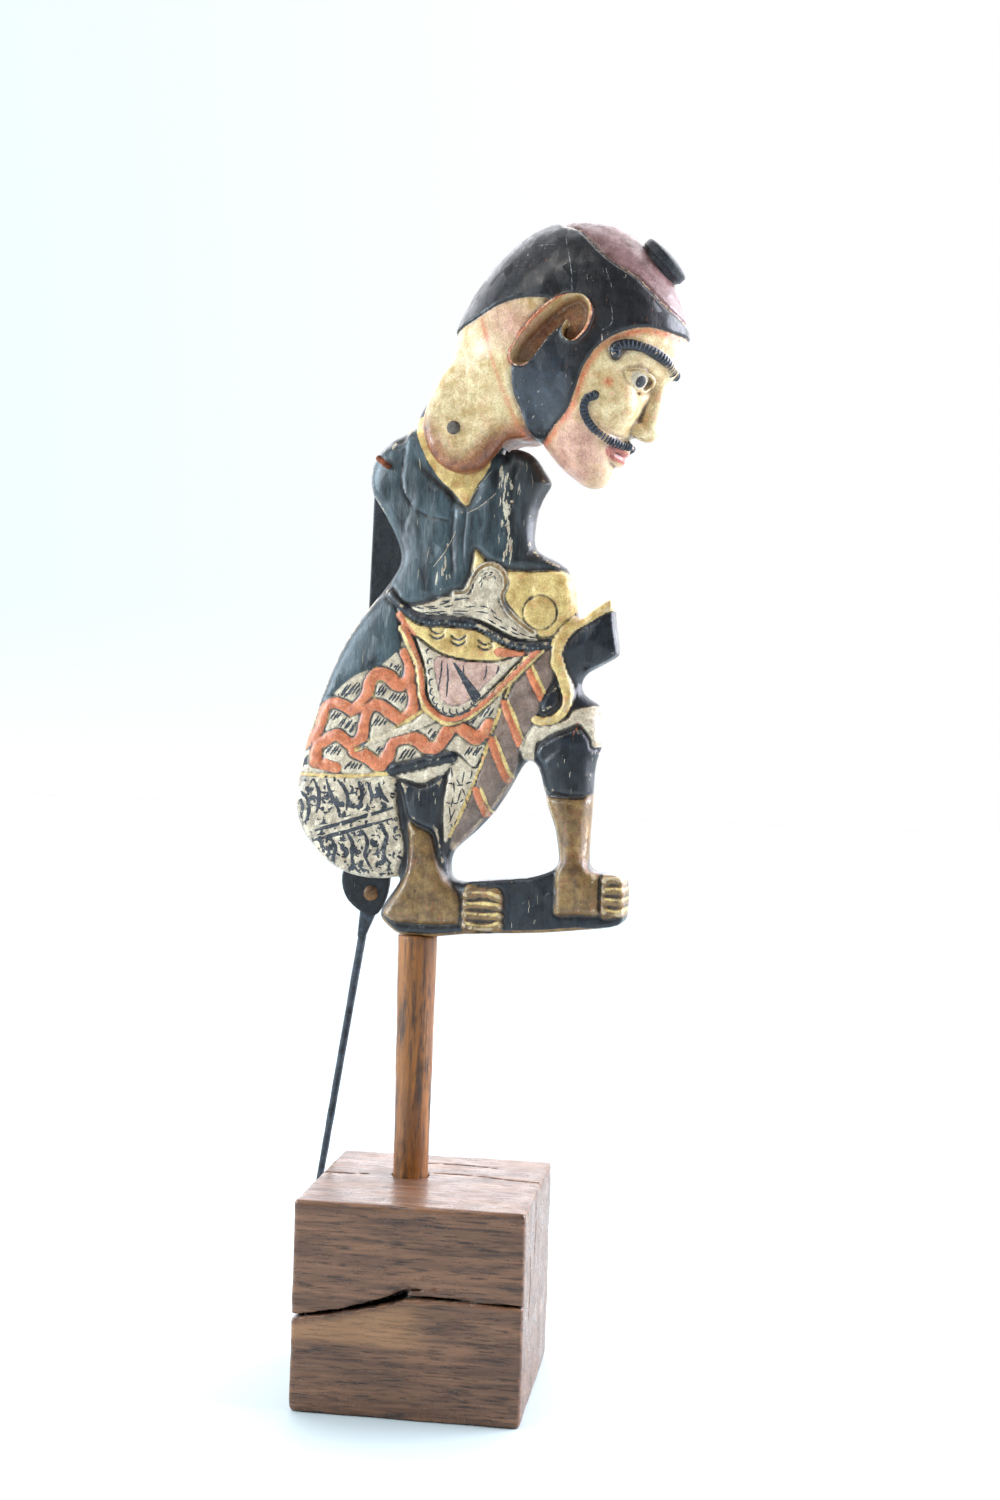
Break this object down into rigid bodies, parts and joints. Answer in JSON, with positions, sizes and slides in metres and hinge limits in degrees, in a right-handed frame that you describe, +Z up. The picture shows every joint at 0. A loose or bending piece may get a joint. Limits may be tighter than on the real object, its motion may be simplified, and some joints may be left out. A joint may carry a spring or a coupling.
{
  "type": "carved rod puppet on a stand",
  "caption": "Flat carved and painted wooden rod puppet with a nodding head and one jointed leather arm on a control rod, held by its grip rod in a hardwood block.",
  "frame": {"origin": "on the table under the axis of the grip rod", "axes": "+X the way the puppet faces, +Y away from the viewer and towards the arm's side, +Z up"},
  "size_m": [0.2158, 0.1581, 0.5821],
  "materials": {
    "stand_wood": "worn, oiled hardwood",
    "grip_wood": "handled, satin",
    "pin_wood": "bare wood",
    "panel_paint": "flaking paint and gilding",
    "head_paint": "flaking gilded paint",
    "peg_wood": "grey bare wood",
    "knot_paint": "worn black paint",
    "pin_iron": "rusted",
    "arm_hide": "painted hide",
    "stud_brass": "tarnished",
    "rod_wood": "dark stain"
  },
  "bodies": {
    "stand": {"stand_block": "stand_wood"},
    "puppet": {"grip_rod": "grip_wood", "tenon_pin": "pin_wood", "body_panel": "panel_paint", "shoulder_pin": "pin_iron"},
    "head": {"head": "head_paint", "neck_peg": "peg_wood", "topknot": "knot_paint"},
    "upper_arm": {"upper_arm": "arm_hide", "elbow_stud": "stud_brass"},
    "forearm": {"forearm": "arm_hide", "wrist_stud": "stud_brass"},
    "rod": {"control_rod": "rod_wood"}
  },
  "joints": [
    {"name": "puppet_lift", "type": "slide", "parent": "stand", "child": "puppet", "axis": [0, 0, 1], "range_m": [0, 0.05]},
    {"name": "head_nod", "type": "hinge", "parent": "puppet", "child": "head", "pos_m": [0.0157, 0, 0.478], "axis": [0, -1, 0], "range_deg": [0, 45]},
    {"name": "shoulder_swing", "type": "hinge", "parent": "puppet", "child": "upper_arm", "pos_m": [-0.02, 0.01285, 0.4603], "axis": [0, -1, 0], "range_deg": [-60, 45]},
    {"name": "elbow_bend", "type": "hinge", "parent": "upper_arm", "child": "forearm", "pos_m": [-0.02494, 0.016, 0.35141], "axis": [0, -1, 0], "range_deg": [-20, 70]},
    {"name": "rod_swing", "type": "hinge", "parent": "forearm", "child": "rod", "pos_m": [-0.02989, 0.019, 0.24252], "axis": [0, -1, 0], "range_deg": [-60, 60]}
  ]
}
